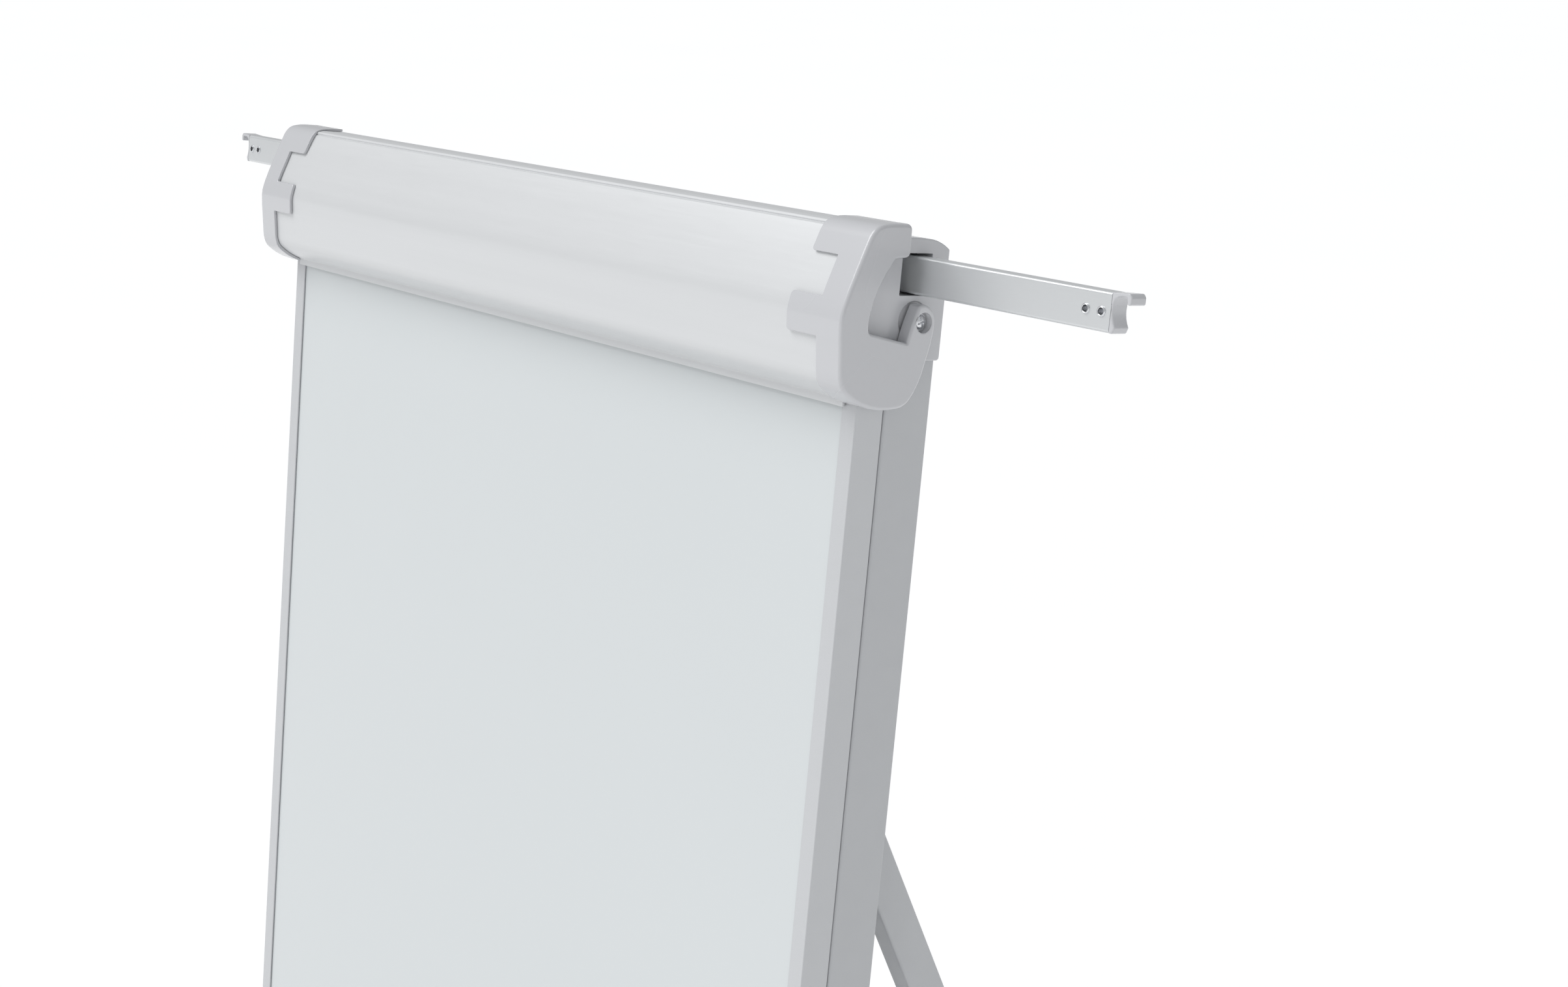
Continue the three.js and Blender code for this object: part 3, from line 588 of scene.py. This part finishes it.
def top_cover():
    """A shell over the top of the upright and the frame, with the arm's slot."""
    body = pillow("cover", "x", COVER_CORNERS, COVER_INNER, COVER_FACE, ends=(True, True), steps=4)
    start = COVER_INNER - 2
    hollow_end = HALF_WIDTH - 0.5
    cavity = block(start, HALF_WIDTH + GAP, -GAP, 61.8, -32, 12.3)
    guide = block(start, GUIDE_END + GAP, GUIDE_N[0] - GAP, GUIDE_N[1] + GAP, 10, GUIDE_U[1] + GAP, 1.6)
    slot = block(GUIDE_END - 1, COVER_FACE + 2, 24, 48.4, 15.2, 40.8, 0.7)
    front = block(start, hollow_end, -2, 28.8, 11, 35, 3)
    rear = block(start, hollow_end, 51.6, 60.5, 11, 42, 2)
    hole = rod("x", HINGE_N, 0, SCREW_HOLE, HALF_WIDTH - 3, COVER_FACE + 1)
    profile = [(COVER_FACE - 1.5, POCKET - 0.3), (COVER_FACE - 1.2, POCKET), (COVER_FACE + 1, POCKET)]
    pocket = turned("tool", "x", HINGE_N, 0, profile, sides=72)
    return carve(body, cavity, guide, slot, front, rear, pocket, hole)


# ------------------------------------------------------------------ extension arms
ARM_END = HALF_WIDTH + 161.9
ARM_N = (34, 46.5)
ARM_U = (16.1, 39.1)
ARM_WALL = 1.3
RIVETS = {"inner": HALF_WIDTH + 143.3, "outer": HALF_WIDTH + 155.1}
RIVET_U = sum(ARM_U) / 2
RIVET_HOLE = 2.45


def inside(span, wall):
    """The span left inside walls of this thickness."""
    return (span[0] + wall, span[1] - wall)


def arm_holes():
    return [rod("n", x, RIVET_U, RIVET_HOLE, ARM_N[0] - 2, ARM_N[1] + 2) for x in RIVETS.values()]


def extension_arm():
    outer = (*ARM_N, *ARM_U, 1.9)
    inner = (*inside(ARM_N, ARM_WALL), *inside(ARM_U, ARM_WALL), 0.7)
    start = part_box("extension_arm_right")[0].x / MM
    return carve(tube("arm", "x", outer, inner, start, ARM_END - GAP), *arm_holes())


def arm_guide_rail():
    outer = (*GUIDE_N, *GUIDE_U, 1.5)
    inner = (*inside(GUIDE_N, GUIDE_WALL), *inside(GUIDE_U, GUIDE_WALL), 0.5)
    return tube("guide", "x", outer, inner, -GUIDE_END, GUIDE_END)


HOOK_CORNERS = [
    (-3, 16.1, 0, 1.1), (2.4, 16.1, 1.4, 1.1), (3.8, 19.5, 1.6, 1.1), (1.6, 24.2, BIG, 1.3),
    (0.9, 29.2, BIG, 1.3), (1.6, 34.2, BIG, 1.3), (4.4, 37.5, BIG, 0.8), (10.7, 37.6, 0.9, 0.8),
    (11.1, 33.3, 1.2, 0.7), (13.8, 33.3, 1.3, 0.8), (14.1, 37.8, 2.4, 1.0), (12.3, 39.9, 1.6, 0.9),
    (0, 39.1, 0, 0.8), (-3, 39.1, 0, 0.8)]


def arm_hook():
    """The arm's moulded end, with a finger at its top, and the spigot that fills the tube."""
    corners = [(ARM_END + a, b, corner, edge) for a, b, corner, edge in HOOK_CORNERS]
    head = pillow("hook", "n", corners, *ARM_N, ends=(True, True), steps=5)
    carve(head, block(ARM_END - 9, ARM_END, ARM_N[0] - 5, ARM_N[1] + 5, 0, 60))
    fit = ARM_WALL + GAP
    spigot = block(ARM_END - 32, ARM_END + 1, *inside(ARM_N, fit), *inside(ARM_U, fit), 0.5)
    carve(head, spigot, operation="UNION")
    return carve(head, *arm_holes())


def rivet(x):
    """A hollow rivet: a rolled flange on each face round an open bore."""
    front, rear = ARM_N
    flange = [(-0.05, 2.3), (0.0, 2.95), (0.4, 3.0), (0.75, 2.8), (0.9, 2.4), (0.75, 2.05), (0.2, 1.9)]
    near = [(front - along, radius) for along, radius in flange]
    far = [(rear + along, radius) for along, radius in reversed(flange)]
    return turned("rivet", "n", x, RIVET_U, near + far, closed=True, sides=40)


# ------------------------------------------------------------------ board and frame
RAIL = [(0, 0, 0.7), (13, 0, 0.55), (13, 1.2, 0.4), (1.6, 1.2, 0.4), (1.6, 13.2, 0.3), (8, 13.2, 0.4),
        (8, 14.6, 0.4), (1.6, 14.6, 0.3), (1.6, 22.3, 0.4), (0, 22.3, 0.7)]
FRAME_TOP = 10
FRAME_BOTTOM = -990


def rail(half, low, high):
    """A rail along u with its outer face at x = half, and mitred ends."""
    section = [(half - p.x, p.y) for p in points_of(outline(RAIL))]
    rings = []
    for end, sign in ((low, 1), (high, -1)):
        rings.append([(x, n, end + sign * (half - x + GAP / 2)) for x, n in section])
    return loft("rail", rings)


def frame_rails():
    middle = (FRAME_TOP + FRAME_BOTTOM) / 2
    half_height = (FRAME_TOP - FRAME_BOTTOM) / 2
    looks = {"bevel": 0.15, "segments": 2}
    show_pair(rail(HALF_WIDTH, FRAME_BOTTOM, FRAME_TOP), "frame_rail", **looks)
    for node, turn in (("frame_rail_top", -90), ("frame_rail_bottom", 90)):
        across = rail(half_height, -HALF_WIDTH, HALF_WIDTH)
        place = Matrix.Translation((0, 0, middle)) @ Matrix.Rotation(math.radians(turn), 4, "Y")
        across.data.transform(place)
        show(across, node, **looks)


# ------------------------------------------------------------------ castor wheels
CAD_SIDES = 28                # the CAD wheel is a polygon, which the round tyre stays inside


def wheel(node):
    """A rubber tyre with a grooved tread on a dished hub, turned about its own axle."""
    low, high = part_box(node)
    centre = (low + high) / 2 / MM
    half = (high.x - low.x) / 2 / MM
    reach = (high.z - low.z) / 2 / MM * math.cos(math.pi / CAD_SIDES)
    groove = [(0.8, reach - 0.7), (1.2, reach)]
    shoulder = [(half - 3, reach - 0.1), (half - 1.2, reach - 1), (half - 0.2, reach - 3.2),
                (half, reach - 6)]
    hub = [(half - 0.4, reach - 6.6), (half - 2.6, reach - 8), (half - 3.4, 12.5), (half - 2.6, 9.5),
           (half, 8.6), (half, 3.4)]
    profile = [(-along, radius) for along, radius in reversed(groove + shoulder)]
    profile += groove + shoulder + hub
    profile += [(-along, radius) for along, radius in reversed(hub)]
    obj = turned(f"{node}_fine", "x", centre.y, centre.z, profile, closed=True, sides=96)
    obj.data.transform(Matrix.Scale(MM, 4) @ Matrix.Translation((centre.x, 0, 0)))
    dress(obj, node, bevel=0)


# ------------------------------------------------------------------ everything
def build_top():
    show(clamp_bar(), "clamp_bar", bevel=0.25, segments=2)
    show_pair(end_cap(), "clamp_end_cap", bevel=0.45)
    show_pair(pivot_screw(), "pivot_screw", bevel=0.12, segments=2)
    show_pair(top_cover(), "top_cover", bevel=0.35)
    show(arm_guide_rail(), "arm_guide_rail", bevel=0.2, segments=2)
    show_pair(extension_arm(), "extension_arm", bevel=0.3)
    show_pair(arm_hook(), "arm_hook", bevel=0.25)
    for where, x in RIVETS.items():
        show_pair(rivet(x), f"arm_rivet_{where}", bevel=0)


# bevel width in millimetres and its segments, for the pieces whose CAD shape is refined
REFINED = {
    "writing_board": (0.15, 2), "backing_board": (0.4, 2), "pen_tray": (0.7, 3),
    "rear_cross_bar": (0.3, 2)}
REFINED_PAIRS = {
    "upright": (0.3, 2), "front_leg": (0.3, 2), "front_foot": (0.8, 3), "leg_collar": (0.9, 3),
    "leg_knob": (1.6, 4), "rear_leg": (0.3, 2), "rear_foot": (0.8, 3), "rear_leg_bolt": (0.4, 3),
    "brace_front": (0.35, 2), "brace_rear": (0.35, 2), "paper_peg": (0.5, 3),
    "castor_fork_front": (0.8, 3), "castor_fork_rear": (0.8, 3), "castor_axle_front": (0.3, 2),
    "castor_axle_rear": (0.3, 2), "castor_brake_front": (0.6, 3)}


def build_rest():
    frame_rails()
    for node, looks in REFINED.items():
        refine(node, *looks)
    for stem, looks in REFINED_PAIRS.items():
        for side in SIDES:
            refine(f"{stem}_{side}", *looks)
    for node in frame["nodes"]:
        if node.startswith("castor_wheel"):
            wheel(node)


# ------------------------------------------------------------------ stage, light and camera
FLOOR_SIZE = 150.0            # far enough for the camera, which looks down only a little


def floor():
    size = FLOOR_SIZE
    corners = [(-size, -size, 0), (size, -size, 0), (size, size, 0), (-size, size, 0)]
    mesh = bpy.data.meshes.new("floor")
    mesh.from_pydata(corners, [], [(0, 1, 2, 3)])
    obj = bpy.data.objects.new("floor", mesh)
    bpy.context.scene.collection.objects.link(obj)
    look = Look("floor", (0.9, 0.9, 0.9), 0.9, specular=0.1)
    look.shader.inputs["Emission Color"].default_value = (1, 1, 1, 1)
    look.shader.inputs["Emission Strength"].default_value = 0.17
    look.tint(look.noise(0.6), 0.004)
    mesh.materials.append(look.material)


def light(data, energy, offset):
    """Hangs a light at an offset from the hinge, and aims it there."""
    data.energy = energy
    obj = bpy.data.objects.new(data.name, data)
    bpy.context.scene.collection.objects.link(obj)
    obj.location = HINGE + Vector(offset)
    obj.rotation_mode = "QUATERNION"
    obj.rotation_quaternion = (-Vector(offset)).to_track_quat("-Z", "Y")


def key_light():
    data = bpy.data.lights.new("key", "SUN")
    data.angle = math.radians(40)
    light(data, 1.95, (-3.0, -3.8, 6.0))


def strip_light():
    """A tall narrow light near the camera, for the thin highlights on the caps' edges."""
    data = bpy.data.lights.new("strip", "AREA")
    data.shape = "RECTANGLE"
    data.size = 0.16
    data.size_y = 2.8
    light(data, 4.5, (1.75, -2.5, 0.35))


def studio():
    world = bpy.data.worlds.new("studio")
    world.use_nodes = True
    ground = next(n for n in world.node_tree.nodes if n.type == "BACKGROUND")
    ground.inputs["Color"].default_value = (0.97, 0.985, 1.0, 1)
    ground.inputs["Strength"].default_value = 0.46
    bpy.context.scene.world = world
    bpy.context.scene.view_settings.view_transform = "Standard"
    key_light()
    strip_light()


LENS = 52.33
FROM_BAR_END = (1000, -952, 151.5)
DIP = math.radians(15.15)     # below the horizon
SWING = math.radians(50.35)   # to the left of straight at the board


def camera():
    """Looks along the bar from beyond its right end, slightly down."""
    data = bpy.data.cameras.new("camera")
    data.sensor_width = 36
    data.lens = LENS
    data.clip_start = 0.01
    data.clip_end = 400
    obj = bpy.data.objects.new("camera", data)
    bar_end = Vector((HALF_WIDTH, HINGE_N, 0))
    obj.location = LEANING @ (bar_end + Vector(FROM_BAR_END))
    obj.rotation_euler = (math.pi / 2 - DIP, 0, SWING)
    bpy.context.scene.collection.objects.link(obj)
    bpy.context.scene.camera = obj


camera()
studio()
floor()
build_top()
build_rest()
